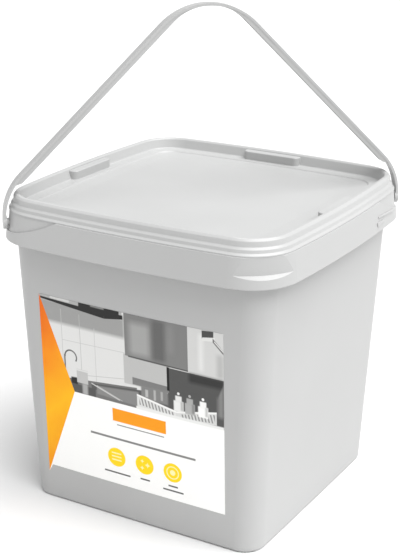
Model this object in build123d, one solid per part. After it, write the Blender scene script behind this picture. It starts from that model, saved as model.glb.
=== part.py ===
from build123d import *

import math
import os

# Square plastic tub with a press-on lid and a strap handle hung from two opposite corners.
# +Z is up, the origin is the middle of the base, and millimetres are used throughout.
# The label face looks along -Y. The handle pivots on the diagonal through +X+Y and -X-Y.

# ---- rim: every ring of the rim, skirt and lid is a parallel offset of one closed line ----
rim_half = 97.2           # half-width of that line at mid-side
rim_corner = 26.0         # its corner radius
rim_side_radius = 1000.0  # its sides bow out
flange_top = 196.2        # height of the flange that the lid stands over
flange_thick = 1.6
flange_round = 0.4        # rounding of its outer edge
skirt_round = 0.6         # rounding of the skirt's lower edge
skirt_height = 18.8
skirt_wall = 1.8
skirt_top_out = 3.8       # offset of the skirt's outer face at the flange
skirt_flare = 2.1         # how much further out its lower edge is
lip_wall = 1.5
lip_out = -1.9            # offset of the lip's outer face
lip_height = 7.8          # lip above the flange
lip_bead = 0.5            # snap bead around the lip
lip_sunk = 1.1            # how far the flange reaches in under the lip
ledge_depth = 2.2         # set-back above the ledge at the two plain corners
ledge_height = 5.8        # ledge above the skirt's lower edge
ledge_radius = 44.0       # plan radius of the set-back
ledge_lift = 0.4          # the ledge's inner face drops by this share of the skirt's wall
rib_places = (-58.0, -24.0, 24.0, 58.0)  # stiffening webs under the skirt, along each side
rib_thick = 1.2
rib_rise = 6.0            # ribs stop this far above the skirt's lower edge

# ---- tub body: a tapered square with rounded corners ----
rim_overhang = 3.2        # rim line outside the wall, under the flange at mid-side
body_taper = 10.6         # the wall stands this much further in at the floor
base_corner = 14.0        # outer corner radius at the floor
base_side_radius = 20000.0  # radius of each side in plan at the floor, so nearly straight
top_corner = 16.0         # outer corner radius under the flange
top_side_radius = 1300.0  # the sides bow out a little at the top
wall = 1.6
floor_thick = 2.2
foot_height = 1.0         # the base stands on a ring this high
foot_width = 5.0
foot_round = 2.2

# ---- lid ----
lid_gap = 0.1             # lid edge above the flange
lid_clear = 0.3           # running gap between the lid's plug and the lip
lid_wall = 1.5
lid_setback = 0.5         # the lid's lower edge stands this far inside the flange's edge
crest_thick = 1.7         # crest over the lip
crest_shift = 0.8         # crest's outer edge outside the lip
crest_width = 1.9
panel_draft = 3.0         # lean of the wall from the crest down to the ledge inside it
panel_drop = 6.8
ledge_width = 7.6
panel_step = 0.8
panel_slope_width = 10.1
panel_slope_drop = 0.6
panel_thick = 1.4
lug_length = 42.0
lug_depth = 4.0
lug_root = 1.4            # how far a lug is rooted in the wall behind it
lug_drop = 1.2            # top of a lug below the crest
lug_end_round = 3.6       # rounding of a lug's ends in plan
lug_top_round = 0.8

# ---- handle: outline in its own upright plane, u along the diagonal and z up ----
pivot_drop = 8.2          # pivots below the flange
ear_gap = 0.43            # between an ear and the skirt's face at the pivot
ear_radius = 4.2
ear_thick = 2.2
strap_width = 7.0
strap_thick = 1.6
end_straight = 2.7        # the strap rises straight from the pivot before it bends
shoulder_radius = 38.0    # bend from that straight end into the arm
arm_angle = 45.0          # slope of the two straight arms
crown_radius = 43.0       # bend at the top
web_depth = 2.6           # two stiffening webs inside the strap, one along each edge
web_thick = 1.2
web_recess = 0.3          # each stands this far in from the strap's edge
web_start = 0.74          # the web starts this far round the shoulder bend
web_rise = 25.0           # and has its full depth this high above the pivots
web_sunk = 0.15           # at the top it vanishes into the strap
pin_radius = 2.5
pin_clear = 0.08
pin_head_step = 1.0       # head of a snap pin larger than the pin all round
pin_head_thick = 1.1
pin_end_gap = 0.7
seat_depth = 0.9          # shallow seat in the skirt behind the handle's ends
seat_radius = 60.0        # its lower edge is an arc
seat_margin = 0.5         # lowest point of that arc below the ear
strip_rise = 0.7          # two raised strips on the skirt beside each seat
strips = (                # start and end along the side, then depth below the flange and width at each
    (42.0, 69.0, 8.6, 10.2, 0.7, 1.5),
    (40.0, 51.0, 12.0, 12.4, 2.6, 0.8),
)

# ---- label on the -Y face ----
label_left, label_right = -68.5, 63.5
label_bottom, label_top = 24.5, 145.0
label_tip = 5.2           # the pointed left corner hangs this far below the label
label_tip_width = 2.9
label_thick = 0.2

beyond = 5.0              # how far a cutting shape runs past what it cuts
huge = 400.0              # larger than the whole tub

skirt_bottom = flange_top - skirt_height
flange_under = flange_top - flange_thick
top_half = rim_half - rim_overhang
base_half = top_half - body_taper
lip_in = lip_out - lip_wall
lip_top = flange_top + lip_height
lid_bottom = flange_top + lid_gap
lid_top = lip_top + lid_clear + crest_thick
lid_out = skirt_top_out - lid_setback
crest_out = lip_out + crest_shift
pivot_height = flange_top - pivot_drop
lean = math.radians(arm_angle)


def corner_centre(half, corner, side_radius):
    """Distance c, so that (c, c) is the centre of the corner arc that meets both side arcs smoothly."""
    reach = side_radius - half
    span = side_radius - corner
    return (math.sqrt(2 * span * span - reach * reach) - reach) / 2


def ring_wire(half, corner, side_radius, z):
    """Closed square line with bowed sides and rounded corners, in eight arcs."""
    c = corner_centre(half, corner, side_radius)
    turn = math.degrees(math.atan2(c, c - (half - side_radius)))
    arcs = []
    for quarter in range(4):
        spin = Rot(0, 0, 90 * quarter)
        side = CenterArc((half - side_radius, 0, z), side_radius, -turn, 2 * turn)
        bend = CenterArc((c, c, z), corner, turn, 90 - 2 * turn)
        arcs += [spin * side, spin * bend]
    return Wire(arcs)


def body_form(grow, low, high):
    """Tapered body between two heights, its walls moved outwards by grow."""
    def at(z):
        share = z / flange_top
        half = base_half + (top_half - base_half) * share + grow
        corner = base_corner + (top_corner - base_corner) * share + grow
        bow = (1 / base_side_radius) * (1 - share) + (1 / top_side_radius) * share
        return Face(ring_wire(half, corner, 1 / bow + grow, z))
    return loft([at(low), at(high)], ruled=True)


def around(profile):
    """Carries a profile, drawn as (offset, z), all the way round the rim line."""
    c = corner_centre(rim_half, rim_corner, rim_side_radius)
    turn = math.degrees(math.atan2(c, c - (rim_half - rim_side_radius)))
    upright = Plane.XZ.location * profile
    side_axis = Axis((rim_half - rim_side_radius, 0, 0), (0, 0, 1))
    side = revolve((Pos(rim_half, 0, 0) * upright).rotate(side_axis, -turn), side_axis, 2 * turn)
    bend = revolve(Rot(0, 0, turn) * Pos(rim_corner, 0, 0) * upright, Axis.Z, 90 - 2 * turn)
    bend = Pos(c, c, 0) * bend
    pieces = [Rot(0, 0, 90 * quarter) * piece for quarter in range(4) for piece in (side, bend)]
    return pieces[0].fuse(*pieces[1:])


def outline(points, rounds=()):
    """Face through the points, with the corners listed as (number, radius) rounded."""
    shape = make_face(Polyline(*points, close=True))
    for number, radius in rounds:
        x, y = points[number]
        corner = shape.vertices().sort_by_distance((x, y, 0))[0]
        shape = fillet(corner, radius)
    return shape


def rim_corner_reach(offset):
    """How far out along the diagonal a rim line with this offset comes at its corners."""
    c = corner_centre(rim_half, rim_corner, rim_side_radius)
    return math.sqrt(2) * c + rim_corner + offset


def skirt_offset(z):
    """Offset of the skirt's outer face at a height."""
    return skirt_top_out + skirt_flare * (flange_top - z) / skirt_height


def corner_setback(inset):
    """What is taken off the two plain corners above their ledge."""
    ledge = skirt_bottom + ledge_height - ledge_lift * inset
    reach = rim_corner_reach(skirt_offset(ledge)) - ledge_depth
    radius = ledge_radius
    middle = reach - radius
    start = middle + radius * math.cos(math.radians(45))
    block = Pos(start + radius, 0, ledge + huge / 2) * Box(2 * radius, 4 * radius, huge)
    post = Pos(middle, 0, ledge + huge / 2) * Cylinder(radius - inset, huge)
    slope = Pos(middle, 0, ledge + ledge_depth / 2) * Cone(
        radius - inset + ledge_depth, radius - inset, ledge_depth
    )
    piece = block - post - slope
    return [Rot(0, 0, angle) * piece for angle in (-45, 135)]


def handle_seats():
    """Shallow seats behind the handle's ends, each a thin layer of the skirt above an arc."""
    layer = outline(
        [
            (skirt_top_out - seat_depth, flange_top),
            (skirt_top_out + beyond, flange_top),
            (skirt_top_out + skirt_flare + beyond, skirt_bottom),
            (skirt_top_out + skirt_flare - seat_depth, skirt_bottom),
        ]
    )
    skin = around(layer)
    middle = pivot_height - ear_radius - seat_margin + seat_radius
    drum = Pos(huge / 2, 0, middle) * Rot(0, 90, 0) * Cylinder(seat_radius, huge)
    drum = Rot(0, 0, 45) * drum
    return [Rot(0, 0, angle) * (skin & drum) for angle in (0, 180)]


def corner_strips():
    """Raised strips low on the skirt, on one side of each handle corner."""
    skin = around(
        outline(
            [
                (skirt_top_out - strip_rise, flange_top),
                (skirt_top_out + strip_rise, flange_top),
                (skirt_offset(skirt_bottom) + strip_rise, skirt_bottom),
                (skirt_offset(skirt_bottom) - strip_rise, skirt_bottom),
            ]
        )
    )
    pieces = []
    for start, end, start_drop, end_drop, start_width, end_width in strips:
        band = outline(
            [
                (start, flange_top - start_drop - start_width),
                (end, flange_top - end_drop - end_width),
                (end, flange_top - end_drop),
                (start, flange_top - start_drop),
            ]
        )
        band = extrude(Plane.YZ.location * band, huge / 2)
        pieces += [Rot(0, 0, angle) * (skin & band) for angle in (0, 180)]
    return pieces


def make_skirt():
    """Flange and skirt as one hollow collar, with its corner ledges and seats."""
    low_out = skirt_top_out + skirt_flare
    block = around(
        outline(
            [
                (lip_in - lip_sunk, skirt_bottom),
                (low_out, skirt_bottom),
                (skirt_top_out, flange_top),
                (lip_in, flange_top),
                (lip_in, flange_under),
                (lip_in - lip_sunk, flange_under),
            ],
            [(1, skirt_round), (2, flange_round)],
        )
    )
    hollow = around(
        outline(
            [
                (-rim_corner / 2, skirt_bottom - beyond),
                (low_out - skirt_wall, skirt_bottom - beyond),
                (low_out - skirt_wall, skirt_bottom),
                (skirt_top_out - skirt_wall, flange_under),
                (-rim_corner / 2, flange_under),
            ],
            [(3, 1.0)],
        )
    )
    for piece in corner_setback(0):
        block -= piece
    for piece in handle_seats():
        block -= piece
    for piece in corner_setback(skirt_wall):
        hollow -= piece
    hollow -= body_form(0, 0, flange_under + beyond)
    rib_bottom = skirt_bottom + rib_rise
    rib = Box(rim_corner, rib_thick, flange_under - rib_bottom)
    for quarter in range(4):
        for place in rib_places:
            spot = Pos(rim_half, place, (rib_bottom + flange_under) / 2)
            hollow -= Rot(0, 0, 90 * quarter) * spot * rib
    for piece in corner_strips():
        block += piece
    return block - hollow


def make_tub():
    """Tapered body, flange, skirt, lip and the two pivot holes, moulded in one."""
    outside = body_form(0, 0, flange_under)
    outside = fillet(outside.edges().group_by(Axis.Z)[0], foot_round)
    foot = body_form(-foot_width, -1, foot_height)
    inside = body_form(-wall, foot_height + floor_thick, flange_under)
    lip = around(
        outline(
            [
                (lip_in, flange_under),
                (lip_out, flange_under),
                (lip_out, lip_top - 3.2),
                (lip_out + lip_bead, lip_top - 2.4),
                (lip_out + lip_bead, lip_top - 1.6),
                (lip_out - 0.3, lip_top),
                (lip_in + 0.3, lip_top),
                (lip_in, lip_top - 0.4),
            ]
        )
    )
    tub = outside + make_skirt() - inside - foot + lip
    face = rim_corner_reach(skirt_offset(pivot_height))
    hole = Pos(face, 0, pivot_height) * Rot(0, 90, 0)
    hole = hole * Cylinder(pin_radius + pin_clear, 2 * (skirt_wall + 1))
    for angle in (45, 225):
        tub -= Rot(0, 0, angle) * hole
    return tub


def make_lid():
    """Stepped rim over a channel for the lip, and a sunk panel with a lug on each side."""
    inner = lip_in - lid_clear
    wall_foot = crest_out - crest_width - panel_draft
    ledge_top = lid_top - panel_drop
    ledge_end = wall_foot - ledge_width
    slope_top = ledge_top - 0.2 - panel_step
    slope_end = ledge_end - panel_step - panel_slope_width
    panel_top = slope_top - panel_slope_drop
    profile = outline(
        [
            (lid_out, lid_bottom),
            (lid_out, lid_bottom + 0.6),
            (lid_out - 1.2, lid_bottom + 1.8),
            (lid_out - 1.5, lid_bottom + 3.7),
            (lid_out - 2.8, lid_bottom + 5.0),
            (lid_out - 3.1, lid_top - 1.5),
            (crest_out, lid_top),
            (crest_out - crest_width, lid_top),
            (crest_out - crest_width - 0.9, lid_top - 0.9),
            (wall_foot, ledge_top),
            (ledge_end, ledge_top - 0.2),
            (ledge_end - panel_step, slope_top),
            (slope_end, panel_top),
            (slope_end, panel_top - panel_thick),
            (ledge_end - 0.3, slope_top - panel_thick),
            (ledge_end + 0.5, ledge_top - lid_wall),
            (inner - 1.9, ledge_top - lid_wall),
            (inner - lid_wall, lid_bottom),
            (inner, lid_bottom),
            (inner, lip_top + lid_clear),
            (lip_out + lip_bead + 0.5, lip_top + lid_clear),
            (lid_out - 2.8 - lid_wall, lid_bottom + 4.6),
            (lid_out - 1.5 - lid_wall, lid_bottom + 3.2),
            (lid_out - 1.3 - lid_wall, lid_bottom + 1.6),
            (lid_out - lid_wall, lid_bottom + 0.4),
            (lid_out - lid_wall, lid_bottom),
        ],
        [(1, 0.5), (2, 0.6), (3, 0.7), (4, 0.7), (5, 0.8), (6, 0.9), (7, 0.8), (9, 1.0), (11, 0.5)],
    )
    rim = around(profile)
    edge = slope_end + 0.4
    panel = extrude(
        Face(ring_wire(rim_half + edge, rim_corner + edge, rim_side_radius + edge, 0)), panel_thick
    )
    lid = rim + Pos(0, 0, panel_top - panel_thick) * panel
    lug_top = lid_top - lug_drop
    lug_low = ledge_top - lid_wall / 2
    lug = Box(lug_depth + lug_root, lug_length, lug_top - lug_low)
    lug = fillet(lug.edges().filter_by(Axis.Z).group_by(Axis.X)[0], lug_end_round)
    lug = fillet(lug.faces().sort_by(Axis.Z)[-1].edges().sort_by(Axis.X)[:-1], lug_top_round)
    place = rim_half + wall_foot + (lug_root - lug_depth) / 2
    for quarter in range(4):
        lid += Rot(0, 0, 90 * quarter) * Pos(place, 0, (lug_low + lug_top) / 2) * lug
    return lid


def handle_out():
    """How far out the handle's outer face stands at the pivots."""
    return rim_corner_reach(skirt_offset(pivot_height)) + ear_gap + ear_thick


def arm_reach():
    """Distance from the origin to the line of an arm's outer face."""
    shoulder_u = handle_out() - shoulder_radius
    shoulder_z = pivot_height + end_straight
    return shoulder_radius + shoulder_u * math.cos(lean) + shoulder_z * math.sin(lean)


def strap_line(inset):
    """Right half of the strap's outline at a depth inside its outer face, from pivot to top."""
    out = handle_out()
    shoulder_u = out - shoulder_radius
    shoulder_z = pivot_height + end_straight
    crown_z = (arm_reach() - crown_radius) / math.sin(lean)
    upright = Line((out - inset, pivot_height), (out - inset, shoulder_z))
    turn = CenterArc((shoulder_u, shoulder_z), shoulder_radius - inset, 0, arm_angle)
    cap = CenterArc((0, crown_z), crown_radius - inset, arm_angle, 90 - arm_angle)
    return [upright, turn, Line(turn @ 1, cap @ 0), cap]


def both_sides(lines):
    """The lines and their mirror images across the handle's middle."""
    return lines + [mirror(line, Plane.YZ) for line in lines]


def strap_face():
    """Side view of the strap: a band of even thickness."""
    lines = both_sides(strap_line(0) + strap_line(strap_thick))
    for side in (1, -1):
        outer = (side * handle_out(), pivot_height)
        inner = (side * (handle_out() - strap_thick), pivot_height)
        lines.append(Line(outer, inner))
    return make_face(lines)


def web_face():
    """Side view of one arm's web, which fades out at the shoulder and at the top."""
    across = math.sin(lean)
    reach = arm_reach() - strap_thick - web_depth
    crown_top = (arm_reach() - crown_radius) / across + crown_radius
    top = crown_top - strap_thick + web_sunk
    radius = (reach - top * across) / (1 - across)
    cap = CenterArc((0, top - radius), radius, arm_angle, 90 - arm_angle)
    full = pivot_height + web_rise
    foot = ((reach - full * across) / math.cos(lean), full)
    shoulder, arm, crown = strap_line(strap_thick / 2)[1:]
    rest = shoulder.trim(web_start, 1)
    underside = [Line(crown @ 1, cap @ 1), cap, Line(cap @ 0, foot), Line(foot, rest @ 0)]
    return make_face([rest, arm, crown] + underside)


def pivot_disc(side, start, end, radius):
    """Disc on the pivot axis, between two distances from the middle."""
    return Pos(side * (start + end) / 2, 0, pivot_height) * Rot(0, 90, 0) * Cylinder(radius, end - start)


def make_handle():
    """Flat strap with two inner webs, and an ear with an inward snap pin at each end."""
    handle = extrude(Plane.XZ.location * strap_face(), strap_width / 2, both=True)
    web = extrude(Plane.XZ.location * web_face(), web_thick / 2, both=True)
    web += mirror(web, Plane.YZ)
    place = (strap_width - web_thick) / 2 - web_recess
    for side in (1, -1):
        handle += Pos(0, side * place, 0) * web
    outer = handle_out()
    head = rim_corner_reach(skirt_offset(pivot_height)) - skirt_wall - pin_end_gap
    tip = head - pin_head_thick
    for side in (1, -1):
        handle += pivot_disc(side, outer - ear_thick, outer, ear_radius)
        handle += pivot_disc(side, tip, outer - ear_thick / 2, pin_radius)
        handle += pivot_disc(side, tip, head, pin_radius + pin_head_step)
    return Rot(0, 0, 45) * handle


def make_label():
    """Thin sheet that follows the -Y wall, with a pointed lower left corner."""
    sheet = body_form(label_thick, 0, flange_under) - body_form(0, 0, flange_under)
    window = make_face(
        Polyline(
            (label_left, label_top),
            (label_right, label_top),
            (label_right, label_bottom),
            (label_left + label_tip_width, label_bottom),
            (label_left, label_bottom - label_tip),
            close=True,
        )
    )
    return sheet & Pos(0, -top_half, 0) * extrude(Plane.XZ.location * window, base_half / 2, both=True)


os.makedirs("parts", exist_ok=True)
export_step(make_tub(), "parts/tub.step")
export_step(make_lid(), "parts/lid.step")
export_step(make_handle(), "parts/handle.step")
export_step(make_label(), "parts/label.step")
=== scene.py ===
import math

import bmesh
import bpy
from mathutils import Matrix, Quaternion, Vector


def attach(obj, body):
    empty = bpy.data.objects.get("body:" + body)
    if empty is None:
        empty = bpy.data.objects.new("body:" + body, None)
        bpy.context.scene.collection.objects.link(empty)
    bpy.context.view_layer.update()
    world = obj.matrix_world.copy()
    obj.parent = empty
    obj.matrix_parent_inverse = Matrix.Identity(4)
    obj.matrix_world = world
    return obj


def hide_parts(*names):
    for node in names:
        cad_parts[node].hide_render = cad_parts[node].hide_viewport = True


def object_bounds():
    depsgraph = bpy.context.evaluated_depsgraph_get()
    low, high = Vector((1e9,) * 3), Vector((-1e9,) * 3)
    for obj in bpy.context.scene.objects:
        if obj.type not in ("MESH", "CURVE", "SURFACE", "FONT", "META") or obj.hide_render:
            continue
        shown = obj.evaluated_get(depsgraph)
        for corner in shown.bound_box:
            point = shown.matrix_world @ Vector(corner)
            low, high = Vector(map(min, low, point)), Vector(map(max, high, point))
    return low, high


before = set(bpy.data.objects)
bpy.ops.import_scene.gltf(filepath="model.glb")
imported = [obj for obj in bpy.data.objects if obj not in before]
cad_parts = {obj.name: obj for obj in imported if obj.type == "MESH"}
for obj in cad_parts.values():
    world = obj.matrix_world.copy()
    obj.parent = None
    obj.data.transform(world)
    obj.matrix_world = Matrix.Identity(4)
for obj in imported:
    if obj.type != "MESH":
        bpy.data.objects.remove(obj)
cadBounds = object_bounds()
print("frame loaded")

mm = 0.001
perMetre = 1000.0  # millimetres in a metre


# shader helpers

def newMaterial(name):
    material = bpy.data.materials.new(name)
    material.use_nodes = True
    return material, material.node_tree.nodes["Principled BSDF"]


def feed(tree, value, socket):
    if isinstance(value, bpy.types.NodeSocket):
        tree.links.new(value, socket)
    else:
        socket.default_value = value


def addNode(tree, kind, settings=None, **inputs):
    # inputs go by the socket's name, or by its number as i0, i1, i2
    node = tree.nodes.new(kind)
    for name, value in (settings or {}).items():
        setattr(node, name, value)
    for name, value in inputs.items():
        numbered = name[0] == "i" and name[1:].isdigit()
        feed(tree, value, node.inputs[int(name[1:]) if numbered else name])
    return node


def calculate(tree, operation, first, second=0.0, third=0.0, clamp=False):
    settings = {"operation": operation, "use_clamp": clamp}
    return addNode(tree, "ShaderNodeMath", settings, i0=first, i1=second, i2=third).outputs[0]


def newGroup(name, inputs, outputs):
    # inputs: name and starting value, four numbers for a colour; outputs: name and kind
    group = bpy.data.node_groups.new(name, "ShaderNodeTree")
    for label, value in inputs.items():
        kind = "NodeSocketColor" if isinstance(value, tuple) else "NodeSocketFloat"
        socket = group.interface.new_socket(label, in_out="INPUT", socket_type=kind)
        socket.default_value = value
    for label, kind in outputs.items():
        group.interface.new_socket(label, in_out="OUTPUT", socket_type=kind)
    return group, group.nodes.new("NodeGroupInput"), group.nodes.new("NodeGroupOutput")


def useGroup(tree, group, **inputs):
    # an underscore in a name stands for a space
    node = addNode(tree, "ShaderNodeGroup", {"node_tree": group})
    for name, value in inputs.items():
        feed(tree, value, node.inputs[name.replace("_", " ")])
    return node


# camera, lights and floor

cameraSetup = {
    "azimuth": 30.04,  # degrees round from the label side towards +X
    "elevation": 19.43,
    "roll": 0.51,
    "distance": 0.8836,
    "lens": 88.5,
    "aside": (0.0003, -0.0083),  # aim point beside the middle of the tub
    "aimHeight": 0.4505,  # share of the whole height
}

lightSetup = {
    "skyStrength": 0.55,
    "sunStrength": 4.3,
    "sunAzimuth": 84.0,  # the sun stands on the +X side, a little to the front
    "sunElevation": 64.0,
    "sunAngle": 60.0,  # wide, so that the shadows are soft
}

floorSetup = {"size": 8.0, "colour": (0.74, 0.74, 0.74), "roughness": 0.7}


def directionFrom(azimuth, elevation):
    turn, rise = math.radians(azimuth), math.radians(elevation)
    level = math.cos(rise)
    return Vector((math.sin(turn) * level, -math.cos(turn) * level, math.sin(rise)))


def makeCamera(setup):
    data = bpy.data.cameras.new("mainCamera")
    data.lens = setup["lens"]
    camera = bpy.data.objects.new("mainCamera", data)
    bpy.context.scene.collection.objects.link(camera)
    back = directionFrom(setup["azimuth"], setup["elevation"])
    aim = Vector((*setup["aside"], cadBounds[1].z * setup["aimHeight"]))
    camera.location = aim + back * setup["distance"]
    level = (-back).to_track_quat("-Z", "Y")
    camera.rotation_mode = "QUATERNION"
    camera.rotation_quaternion = level @ Quaternion((0, 0, 1), math.radians(setup["roll"]))
    bpy.context.scene.camera = camera


def makeSky(setup):
    world = bpy.data.worlds.new("paleSky")
    world.use_nodes = True
    tree = world.node_tree
    sky = tree.nodes["Background"]
    sky.inputs["Color"].default_value = (1.0, 1.0, 1.0, 1.0)
    seen = addNode(tree, "ShaderNodeLightPath").outputs["Is Camera Ray"]
    strength = calculate(tree, "MAXIMUM", seen, setup["skyStrength"])  # plain white where it is seen
    tree.links.new(strength, sky.inputs["Strength"])
    bpy.context.scene.world = world


def makeSun(setup):
    data = bpy.data.lights.new("softSun", "SUN")
    data.energy = setup["sunStrength"]
    data.angle = math.radians(setup["sunAngle"])
    sun = bpy.data.objects.new("softSun", data)
    back = directionFrom(setup["sunAzimuth"], setup["sunElevation"])
    sun.rotation_mode = "QUATERNION"
    sun.rotation_quaternion = back.to_track_quat("Z", "Y")
    bpy.context.scene.collection.objects.link(sun)


def makeFloor(setup):
    half = setup["size"] / 2
    corners = [(-half, -half, 0), (half, -half, 0), (half, half, 0), (-half, half, 0)]
    mesh = bpy.data.meshes.new("floor")
    mesh.from_pydata(corners, [], [(0, 1, 2, 3)])
    floor = bpy.data.objects.new("floor", mesh)
    bpy.context.scene.collection.objects.link(floor)
    material, shader = newMaterial("paleFloor")
    shader.inputs["Base Color"].default_value = (*setup["colour"], 1.0)
    shader.inputs["Roughness"].default_value = setup["roughness"]
    mesh.materials.append(material)


# moulded polypropylene: tub, lid and handle

plasticSetup = {
    "tub": {"colour": (0.44, 0.442, 0.44, 1.0), "roughness": 0.40, "flow": 9.0},
    "lid": {"colour": (0.45, 0.453, 0.451, 1.0), "roughness": 0.36, "flow": 12.0},
    "handle": {"colour": (0.43, 0.432, 0.43, 1.0), "roughness": 0.34, "flow": 20.0},
}

skinSetup = {
    "flowDetail": 3.0,
    "grainScale": 1800.0,
    "grainDetail": 2.0,
    "flowRange": (0.3, 0.7),  # this much of the flow noise
    "toneRange": (0.965, 1.035),  # scales the colour by this
    "roughShift": (0.16, -0.08),  # times the flow noise, then added
    "waveShare": 6.0,  # height of the flow's waves against the grain's
    "bumpStrength": 0.25,
    "bumpDepth": 0.00002,
    "ior": 1.49,
}


def makeSkinGroup(setup):
    group, entry, result = newGroup(
        "mouldedSkin",
        {"Colour": (0.5, 0.5, 0.5, 1.0), "Roughness": 0.4, "Flow Scale": 10.0},
        {"Colour": "NodeSocketColor", "Roughness": "NodeSocketFloat", "Height": "NodeSocketFloat"},
    )
    place = addNode(group, "ShaderNodeTexCoord").outputs["Object"]
    flow = addNode(
        group, "ShaderNodeTexNoise",
        Vector=place, Scale=entry.outputs["Flow Scale"], Detail=setup["flowDetail"],
    )
    grain = addNode(
        group, "ShaderNodeTexNoise",
        Vector=place, Scale=setup["grainScale"], Detail=setup["grainDetail"],
    )
    tone = addNode(group, "ShaderNodeMapRange", Value=flow.outputs["Fac"])
    ends = ("From Min", "From Max", "To Min", "To Max")
    for end, value in zip(ends, (*setup["flowRange"], *setup["toneRange"])):
        tone.inputs[end].default_value = value
    tint = addNode(group, "ShaderNodeVectorMath", {"operation": "SCALE"}, i0=entry.outputs["Colour"])
    group.links.new(tone.outputs["Result"], tint.inputs["Scale"])
    group.links.new(tint.outputs[0], result.inputs["Colour"])
    shift = calculate(group, "MULTIPLY_ADD", flow.outputs["Fac"], *setup["roughShift"])
    rough = calculate(group, "ADD", entry.outputs["Roughness"], shift)
    group.links.new(rough, result.inputs["Roughness"])
    wave = calculate(group, "MULTIPLY", flow.outputs["Fac"], setup["waveShare"])
    height = calculate(group, "ADD", wave, grain.outputs["Fac"])
    group.links.new(height, result.inputs["Height"])
    return group


def makePlastic(name, setup, skinGroup):
    material, shader = newMaterial(name + "Plastic")
    tree = material.node_tree
    skin = useGroup(
        tree, skinGroup,
        Colour=setup["colour"], Roughness=setup["roughness"], Flow_Scale=setup["flow"],
    )
    tree.links.new(skin.outputs["Colour"], shader.inputs["Base Color"])
    tree.links.new(skin.outputs["Roughness"], shader.inputs["Roughness"])
    bump = addNode(
        tree, "ShaderNodeBump",
        Height=skin.outputs["Height"], Strength=skinSetup["bumpStrength"], Distance=skinSetup["bumpDepth"],
    )
    tree.links.new(bump.outputs["Normal"], shader.inputs["Normal"])
    shader.inputs["IOR"].default_value = skinSetup["ior"]
    return material


def setMaterial(piece, material):
    piece.data.materials.clear()
    piece.data.materials.append(material)


# printed label: plain fields of colour, in millimetres on the wall, x to the right and z up

labelSetup = {
    "white": 0.95,
    "warmth": 0.985,  # blue share of every grey ink
    "roughness": 0.42,
    "specular": 0.2,  # the film is duller than the bare plastic
    "edge": 0.25,  # softness of a printed edge
}


def grey(tone):
    return (tone, tone, tone * labelSetup["warmth"])


def finishFilm(shader):
    shader.inputs["Roughness"].default_value = labelSetup["roughness"]
    shader.inputs["Specular IOR Level"].default_value = labelSetup["specular"]


def softStep(tree, distance, soft):
    # 0 to 1 over the softness, half way at distance 0
    return calculate(tree, "ADD", calculate(tree, "DIVIDE", distance, soft), 0.5, clamp=True)


def makeFieldGroup():
    # mask of a four-sided field with upright sides and sloping lower and upper edges
    group, entry, result = newGroup(
        "printField",
        {"X": 0.0, "Z": 0.0, "Left": 0.0, "Right": 1.0, "Low Left": 0.0, "Low Right": 0.0,
         "High Left": 1.0, "High Right": 1.0, "Soft": 0.2},
        {"Mask": "NodeSocketFloat"},
    )
    get = entry.outputs
    span = calculate(group, "SUBTRACT", get["Right"], get["Left"])
    fromLeft = calculate(group, "SUBTRACT", get["X"], get["Left"])
    fromRight = calculate(group, "SUBTRACT", get["Right"], get["X"])
    along = calculate(group, "DIVIDE", fromLeft, span, clamp=True)
    edges = [fromLeft, fromRight]
    for side, sign in (("Low", 1.0), ("High", -1.0)):
        rise = calculate(group, "SUBTRACT", get[side + " Right"], get[side + " Left"])
        line = calculate(group, "MULTIPLY_ADD", rise, along, get[side + " Left"])
        above = calculate(group, "SUBTRACT", get["Z"], line)
        edges.append(calculate(group, "MULTIPLY", above, sign))
    mask = None
    for edge in edges:
        part = softStep(group, edge, get["Soft"])
        mask = part if mask is None else calculate(group, "MULTIPLY", mask, part)
    group.links.new(mask, result.inputs["Mask"])
    return group


def makeMarkGroup():
    # mask of a disc or ring; a roundness below 1 makes a star with hollow sides
    group, entry, result = newGroup(
        "printMark",
        {"X": 0.0, "Z": 0.0, "Centre X": 0.0, "Centre Z": 0.0, "Radius": 1.0, "Inner": -1.0,
         "Roundness": 2.0, "Soft": 0.2},
        {"Mask": "NodeSocketFloat"},
    )
    get = entry.outputs
    total = None
    for axis in ("X", "Z"):
        offset = calculate(group, "SUBTRACT", get[axis], get["Centre " + axis])
        offset = calculate(group, "ABSOLUTE", offset)
        power = calculate(group, "POWER", offset, get["Roundness"])
        total = power if total is None else calculate(group, "ADD", total, power)
    reach = calculate(group, "POWER", total, calculate(group, "DIVIDE", 1.0, get["Roundness"]))
    inside = softStep(group, calculate(group, "SUBTRACT", get["Radius"], reach), get["Soft"])
    outside = softStep(group, calculate(group, "SUBTRACT", reach, get["Inner"]), get["Soft"])
    group.links.new(calculate(group, "MULTIPLY", inside, outside), result.inputs["Mask"])
    return group


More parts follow.
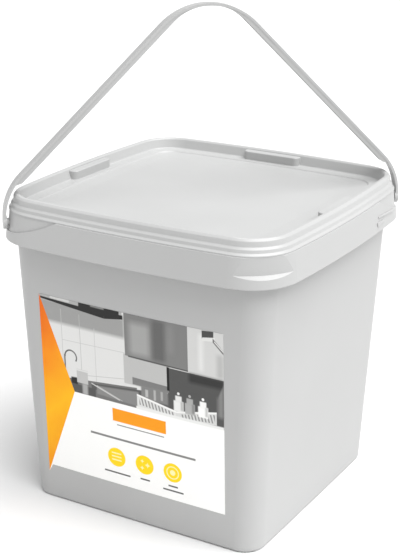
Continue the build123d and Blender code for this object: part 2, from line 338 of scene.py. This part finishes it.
class PrintSheet:
    # lays inks one over the other, and leaves out what doesn't reach its region
    def __init__(self, tree, groups, region, ground):
        self.tree, self.region = tree, region
        self.fieldGroup, self.markGroup = groups
        place = addNode(tree, "ShaderNodeTexCoord").outputs["Object"]
        parts = addNode(tree, "ShaderNodeSeparateXYZ", i0=place)
        self.x = calculate(tree, "MULTIPLY", parts.outputs["X"], perMetre)
        self.z = calculate(tree, "MULTIPLY", parts.outputs["Z"], perMetre)
        self.ink = addNode(tree, "ShaderNodeRGB").outputs[0]
        self.ink.default_value = (*ground, 1.0)

    def reaches(self, sides, low, high):
        left, right, bottom, top = self.region
        return sides[1] > left and sides[0] < right and high > bottom and low < top

    def lay(self, mask, colour):
        mix = addNode(
            self.tree, "ShaderNodeMix", {"data_type": "RGBA"},
            i0=mask, i6=self.ink, i7=(*colour, 1.0),
        )
        self.ink = mix.outputs[2]

    def fieldMask(self, sides, low, high, soft):
        node = useGroup(
            self.tree, self.fieldGroup, X=self.x, Z=self.z, Left=sides[0], Right=sides[1],
            Low_Left=low[0], Low_Right=low[1], High_Left=high[0], High_Right=high[1],
            Soft=max(soft, labelSetup["edge"]),
        )
        return node.outputs["Mask"]

    def markMask(self, x, z, radius, inner=-1.0, roundness=2.0):
        node = useGroup(
            self.tree, self.markGroup, X=self.x, Z=self.z, Centre_X=x, Centre_Z=z,
            Radius=radius, Inner=inner, Roundness=roundness, Soft=labelSetup["edge"],
        )
        return node.outputs["Mask"]

    def field(self, sides, low, high, colour, soft=0.0):
        if self.reaches(sides, min(low), max(high)):
            self.lay(self.fieldMask(sides, low, high, soft), colour)

    def bar(self, sides, heights, colour, soft=0.0):
        low, high = heights
        self.field(sides, (low, low), (high, high), colour, soft)

    def mark(self, x, z, radius, colour, **shape):
        if self.reaches((x - radius, x + radius), z - radius, z + radius):
            self.lay(self.markMask(x, z, radius, **shape), colour)


# each field: left and right, lower edge at both, upper edge at both, tone, softness
pictureFields = {
    "ground": ((-69.5, 64.5), (82.6, 82.6), (146.0, 146.0), 0.72, 0.0),
    "tileShade": ((-68.5, -4.5), (128, 128), (143, 143), 0.34, 3.0),
    "wallRight": ((-6, 27), (98, 98), (118, 118), 0.50, 0.6),
    "tileJointA": ((-52.2, -51.8), (96, 96), (138, 138), 0.52, 0.3),
    "tileJointB": ((-38.2, -37.8), (92, 92), (137, 137), 0.48, 0.3),
    "tileJointC": ((-27.2, -26.8), (92, 92), (130, 130), 0.55, 0.3),
    "tileJointD": ((-52, -5), (117.0, 118.3), (117.4, 118.7), 0.55, 0.3),
    "tileJointE": ((-40, -2), (95.2, 101.0), (95.6, 101.4), 0.50, 0.3),
    "hoodTop": ((-68.5, -6), (141.5, 139.5), (145.2, 145.2), 0.42, 0.3),
    "hoodLamp": ((-60, -45), (143.6, 143.4), (145.2, 145.2), 0.62, 1.2),
    "hoodEdge": ((-67.5, -19), (142.3, 138.2), (143.6, 142.0), 0.020, 0.3),
    "hoodSide": ((-19, -5.5), (138.2, 140.4), (143.0, 143.0), 0.018, 0.2),
    "hoodDark": ((-38, -8.0), (140.0, 140.0), (145.2, 145.2), 0.022, 0.3),
    "hoodGlint": ((-29, -19), (144.2, 144.0), (145.2, 145.2), 0.25, 0.8),
    "cabinet": ((-4.7, 39.6), (117.0, 116.2), (145.2, 145.2), 0.21, 0.2),
    "cabinetGlow": ((-1, 13), (119, 119), (140, 140), 0.36, 5.0),
    "cabinetDark": ((15, 24), (118, 118), (145, 145), 0.13, 4.0),
    "cabinetSheen": ((26, 30), (125, 125), (143, 143), 0.24, 4.0),
    "cabinetEdge": ((-2.5, 39.6), (116.4, 115.6), (117.4, 116.6), 0.10, 0.3),
    "sidePanel": ((39.8, 63.5), (115.2, 115.0), (145.2, 145.2), 0.62, 0.3),
    "sideSheen": ((47, 50), (118, 118), (142, 142), 0.74, 3.0),
    "sideShade": ((59, 63.5), (116, 116), (131, 131), 0.48, 3.0),
    "bracketDark": ((49.3, 57.0), (139.6, 140.2), (144.6, 145.2), 0.07, 0.3),
    "bracketPale": ((49.6, 58.0), (138.0, 139.0), (140.2, 141.6), 0.72, 0.3),
    "bracketStay": ((56.5, 63.5), (138.4, 131.6), (141.0, 134.0), 0.17, 0.4),
    "bracketShine": ((57.5, 63.5), (138.6, 133.0), (139.4, 133.8), 0.80, 0.3),
    "shelfBack": ((25, 63.5), (82.6, 82.6), (115.4, 114.9), 0.085, 0.3),
    "shelfTop": ((40, 63.5), (109, 109), (115.2, 114.8), 0.035, 3.0),
    "shelfEnd": ((59.5, 63.5), (90, 90), (103, 112), 0.22, 3.0),
    "shelfRail": ((0, 26), (98.5, 98.5), (103.4, 102.6), 0.20, 0.3),
    "wallPost": ((24.7, 26.4), (100, 100), (115.7, 115.6), 0.010, 0.2),
    "worktop": ((-49, 3.0), (82.6, 82.6), (91.5, 96.6), 0.17, 0.3),
    "worktopFar": ((-31, 26), (88.0, 88.0), (91.8, 97.8), 0.10, 0.4),
    "worktopPale": ((-27, 4), (85.5, 84.0), (91.0, 94.0), 0.24, 1.0),
    "sinkRimA": ((-31, -10), (91.4, 84.6), (92.2, 85.4), 0.60, 0.3),
    "sinkRimB": ((-27, -8), (91.0, 84.6), (91.5, 85.1), 0.45, 0.3),
    "sinkDark": ((-46, -28), (82.6, 82.6), (88.5, 88.5), 0.09, 0.8),
    "sinkGlow": ((-38, -34), (82.6, 82.6), (90.0, 90.0), 0.40, 1.6),
    "drainDark": ((-46.5, -41.5), (88.4, 88.4), (92.8, 93.2), 0.02, 0.8),
    "tumbler": ((-42, -33.5), (90.0, 90.0), (99.4, 99.4), 0.52, 0.4),
    "tumblerRim": ((-42, -33.5), (98.2, 98.2), (99.2, 99.2), 0.70, 0.3),
    "tapStem": ((-51.2, -50.2), (97.0, 97.0), (107.5, 107.5), 0.11, 0.2),
    "glasses": ((6, 25), (90, 90), (98.8, 99.4), 0.22, 1.2),
    "glassGlintA": ((9, 11), (92, 92), (97, 97), 0.48, 0.8),
    "glassGlintB": ((15, 16.5), (91, 91), (98, 98), 0.45, 0.8),
    "glassGlintC": ((20, 21.5), (92, 92), (98, 98), 0.42, 0.8),
    "basket": ((2.8, 31), (84.2, 82.6), (92.0, 86.8), 0.70, 0.2),
    "basketFar": ((31, 58.6), (82.6, 84.4), (86.8, 92.6), 0.66, 0.2),
    "basketLip": ((2.8, 31), (91.4, 86.2), (92.6, 87.4), 0.88, 0.2),
    "basketFarLip": ((31, 58.6), (86.2, 92.0), (87.4, 93.2), 0.86, 0.2),
}


def layPicture(sheet, fields):
    for sides, low, high, tone, soft in fields.values():
        sheet.field(sides, low, high, grey(tone), soft)


basketSlots = {
    "areas": (  # near side and far side: left and right, lower edge at both, upper edge at both
        ((4.5, 29.0), (85.6, 83.4), (90.8, 86.0)),
        ((34.0, 57.4), (83.4, 85.4), (86.0, 91.2)),
    ),
    "pitch": 2.3,
    "width": 1.0,
    "lean": 0.25,
    "soft": 0.3,
    "tone": 0.26,
}


def layBasketSlots(sheet, slots):
    areas = [area for area in slots["areas"] if sheet.reaches(area[0], min(area[1]), max(area[2]))]
    if not areas:
        return
    lean = calculate(sheet.tree, "MULTIPLY_ADD", sheet.z, slots["lean"], sheet.x)
    wave = calculate(sheet.tree, "PINGPONG", lean, slots["pitch"] / 2)
    depth = calculate(sheet.tree, "SUBTRACT", slots["pitch"] / 2 - slots["width"] / 2, wave)
    slits = softStep(sheet.tree, depth, -labelSetup["edge"])
    for sides, low, high in areas:
        area = sheet.fieldMask(sides, low, high, slots["soft"])
        sheet.lay(calculate(sheet.tree, "MULTIPLY", slits, area), grey(slots["tone"]))


jars = {
    "places": (32.5, 40.3, 49.4),
    "tones": (0.80, 0.42, 0.92),
    "foot": 87.4, "shoulder": 94.6, "neck": 98.0, "knob": 99.6,  # heights
    "halfWidth": 3.4, "neckHalfWidth": 2.2, "knobRadius": 0.9,
    "overlap": 1.0,  # the neck starts this far below the shoulder
    "shade": (1.4, 3.2),  # darker strip on the right of each
    "neckTone": 0.95, "shadeTone": 0.6,  # shares of the jar's own tone
    "soft": 0.8, "shadeSoft": 1.2,
}


def layJars(sheet, setup):
    foot, shoulder, neck, half = (setup[key] for key in ("foot", "shoulder", "neck", "halfWidth"))
    neckHalf, lap, shade = setup["neckHalfWidth"], setup["overlap"], setup["shade"]
    for x, tone in zip(setup["places"], setup["tones"]):
        neckInk, shadeInk = grey(tone * setup["neckTone"]), grey(tone * setup["shadeTone"])
        sheet.bar((x - half, x + half), (foot, shoulder), grey(tone), setup["soft"])
        sheet.bar((x - neckHalf, x + neckHalf), (shoulder - lap, neck), neckInk, setup["soft"])
        sheet.mark(x, setup["knob"], setup["knobRadius"], grey(tone))
        sheet.bar((x + shade[0], x + shade[1]), (foot + lap, shoulder), shadeInk, setup["shadeSoft"])


counterEdge = {"sides": (2.0, 63.5), "heights": (82.2, 84.2), "tone": 0.80, "soft": 0.8}

tap = {
    "x": -46.0, "z": 106.6,  # middle of its bend
    "radius": 4.9,
    "thick": 1.0,
    "sides": (-52.0, -40.0), "high": 113.0,  # only the bend's upper part is laid
    "drop": 3.0,  # it reaches this much lower on the right
    "soft": 0.3,
    "tone": 0.13,
}


def layTap(sheet, setup):
    x, z, drop = setup["x"], setup["z"], setup["drop"]
    if not sheet.reaches(setup["sides"], z - drop, setup["high"]):
        return
    ring = sheet.markMask(x, z, setup["radius"], inner=setup["radius"] - setup["thick"])
    upper = sheet.fieldMask(setup["sides"], (z, z - drop), (setup["high"],) * 2, setup["soft"])
    sheet.lay(calculate(sheet.tree, "MULTIPLY", ring, upper), grey(setup["tone"]))


# plain bars in place of words: left and right, low and high, ink
textBars = {
    "title": ((-16.0, 23.0), (69.6, 78.4), "orange"),
    "titleLine": ((-13.0, 21.5), (66.9, 67.6), "grey"),
    "line": ((-33.5, 43.5), (56.4, 57.9), "grey"),
    "captionA": ((-24.0, -4.5), (31.9, 33.0), "dark"),
    "captionB": ((3.0, 10.0), (32.7, 33.8), "dark"),
    "captionC": ((23.6, 30.4), (33.5, 34.6), "dark"),
    "captionD": ((19.6, 34.4), (30.3, 31.4), "dark"),
}

barInks = {"orange": (0.93, 0.33, 0.006), "grey": grey(0.22), "dark": grey(0.10)}


def layBars(sheet, bars):
    for sides, heights, ink in bars.values():
        sheet.bar(sides, heights, barInks[ink])


discs = {
    "places": (-14.4, 6.4, 26.9),
    "height": 43.7,
    "radius": 6.6,
    "ink": (1.0, 0.69, 0.008),
    "mark": (1.0, 0.90, 0.45),
    "stripes": (-2.0, 0.4, 2.8),  # sign on the left disc: heights of three stripes
    "stripeHalf": (3.6, 0.45),  # half width and half height of each
    "stars": ((-1.6, 2.4, 1.7), (2.2, 0.2, 2.4), (-1.8, -2.4, 1.9)),  # middle disc: across, up, size
    "starRoundness": 0.55,
    "ring": (3.8, 4.5),  # right disc: a ring's inner and outer radius, and a dot in it
    "dot": 1.9,
}


def layDiscs(sheet, setup):
    left, middle, right = setup["places"]
    z, mark = setup["height"], setup["mark"]
    for x in setup["places"]:
        sheet.mark(x, z, setup["radius"], setup["ink"])
    halfWidth, halfHeight = setup["stripeHalf"]
    for up in setup["stripes"]:
        heights = (z + up - halfHeight, z + up + halfHeight)
        sheet.bar((left - halfWidth, left + halfWidth), heights, mark)
    for across, up, size in setup["stars"]:
        sheet.mark(middle + across, z + up, size, mark, roundness=setup["starRoundness"])
    inner, outer = setup["ring"]
    sheet.mark(right, z, outer, mark, inner=inner)
    sheet.mark(right, z, setup["dot"], mark)


def makeRegionFilm(name, region, groups):
    material, shader = newMaterial(name + "Film")
    tree = material.node_tree
    sheet = PrintSheet(tree, groups, region, grey(labelSetup["white"]))
    layPicture(sheet, pictureFields)
    layBasketSlots(sheet, basketSlots)
    layJars(sheet, jars)
    sheet.bar(counterEdge["sides"], counterEdge["heights"], grey(counterEdge["tone"]), counterEdge["soft"])
    layTap(sheet, tap)
    layBars(sheet, textBars)
    layDiscs(sheet, discs)
    tree.links.new(sheet.ink, shader.inputs["Base Color"])
    finishFilm(shader)
    return material


orangeWedge = {
    "left": -68.5, "right": -44.4,  # its straight side and its tip
    "top": 145.0, "middle": 82.6, "foot": 19.3,  # the tip is at the middle
    "yellowing": -0.22,  # shift along the inks, from the straight side to the tip
    "noiseScale": 60.0,
    "noiseDetail": 2.0,
    "noiseShift": (0.24, -0.12),  # times the noise, then added
}

wedgeInks = (  # share of the height, from the foot up, and colour
    (0.06, (0.92, 0.33, 0.003)),
    (0.30, (0.96, 0.48, 0.004)),
    (0.66, (0.90, 0.26, 0.002)),
    (0.92, (0.80, 0.145, 0.002)),
)


def makeWedgeFilm(wedge):
    material, shader = newMaterial("wedgeFilm")
    tree = material.node_tree
    place = addNode(tree, "ShaderNodeTexCoord").outputs["Object"]
    noise = addNode(
        tree, "ShaderNodeTexNoise",
        Vector=place, Scale=wedge["noiseScale"], Detail=wedge["noiseDetail"],
    )
    parts = addNode(tree, "ShaderNodeSeparateXYZ", i0=place)
    height = calculate(tree, "MULTIPLY_ADD", parts.outputs["Z"], perMetre, -wedge["foot"])
    height = calculate(tree, "DIVIDE", height, wedge["top"] - wedge["foot"])
    across = calculate(tree, "MULTIPLY_ADD", parts.outputs["X"], perMetre, -wedge["left"])
    across = calculate(tree, "DIVIDE", across, wedge["right"] - wedge["left"])
    shift = calculate(tree, "MULTIPLY_ADD", noise.outputs["Fac"], *wedge["noiseShift"])
    shift = calculate(tree, "MULTIPLY_ADD", across, wedge["yellowing"], shift)
    ramp = addNode(tree, "ShaderNodeValToRGB", Fac=calculate(tree, "ADD", height, shift))
    stops = ramp.color_ramp.elements
    first, *between, last = wedgeInks
    for number, (position, ink) in enumerate((first, last)):  # a ramp starts with two stops
        stops[number].position, stops[number].color = position, (*ink, 1.0)
    for position, ink in between:
        stops.new(position).color = (*ink, 1.0)
    tree.links.new(ramp.outputs["Color"], shader.inputs["Base Color"])
    finishFilm(shader)
    return material


# the sheet is cut along the print's main lines, and each region has its own ink layers
sheetLines = {
    "left": -70.0, "leftCut": -5.0, "rightCut": 27.0, "right": 70.0,
    "low": 10.0, "middle": orangeWedge["middle"], "high": 150.0,
}

labelRegions = {  # left, right, low, high
    "pictureLeft": ("left", "leftCut", "middle", "high"),
    "pictureMiddle": ("leftCut", "rightCut", "middle", "high"),
    "pictureRight": ("rightCut", "right", "middle", "high"),
    "lowerSheet": ("left", "right", "low", "middle"),
}


def cutMesh(mesh, cuts, nearness=1e-7):
    shape = bmesh.new()
    shape.from_mesh(mesh)
    for point, normal in cuts:
        parts = shape.verts[:] + shape.edges[:] + shape.faces[:]
        bmesh.ops.bisect_plane(shape, geom=parts, dist=nearness, plane_co=point, plane_no=normal)
    shape.to_mesh(mesh)
    shape.free()


def cutLines(wedge):
    cuts = [((sheetLines[line] * mm, 0, 0), (1, 0, 0)) for line in ("leftCut", "rightCut")]
    cuts.append(((0, 0, sheetLines["middle"] * mm), (0, 0, 1)))
    tip = Vector((wedge["right"], 0, wedge["middle"])) * mm
    for end in ("top", "foot"):
        along = tip - Vector((wedge["left"], 0, wedge[end])) * mm
        cuts.append((tip, (-along.z, 0, along.x)))
    return cuts


def filmNumber(x, z, regions, wedge):
    # 0 is the wedge, and then come the regions in their order
    end = wedge["top"] if z > wedge["middle"] else wedge["foot"]
    share = (end - z) / (end - wedge["middle"])
    if x < wedge["left"] + share * (wedge["right"] - wedge["left"]):
        return 0
    inside = [left <= x <= right and low <= z <= high for left, right, low, high in regions]
    return inside.index(True) + 1


def makeLabel():
    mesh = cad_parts["label"].data.copy()
    mesh.name = "labelSheet"
    cutMesh(mesh, cutLines(orangeWedge))
    groups = (makeFieldGroup(), makeMarkGroup())
    regions = [[sheetLines[line] for line in lines] for lines in labelRegions.values()]
    mesh.materials.clear()
    mesh.materials.append(makeWedgeFilm(orangeWedge))
    for name, region in zip(labelRegions, regions):
        mesh.materials.append(makeRegionFilm(name, region, groups))
    for face in mesh.polygons:
        face.material_index = filmNumber(face.center.x / mm, face.center.z / mm, regions, orangeWedge)
    piece = bpy.data.objects.new("labelSheet", mesh)
    bpy.context.scene.collection.objects.link(piece)
    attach(piece, "tub")
    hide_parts("label")


makeCamera(cameraSetup)
makeSky(lightSetup)
makeSun(lightSetup)
bpy.context.scene.view_settings.view_transform = "Standard"
makeFloor(floorSetup)
print("camera, lights and floor done")

skinGroup = makeSkinGroup(skinSetup)
for name, setup in plasticSetup.items():
    setMaterial(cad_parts[name], makePlastic(name, setup, skinGroup))
print("plastic done")

makeLabel()
print("label done")
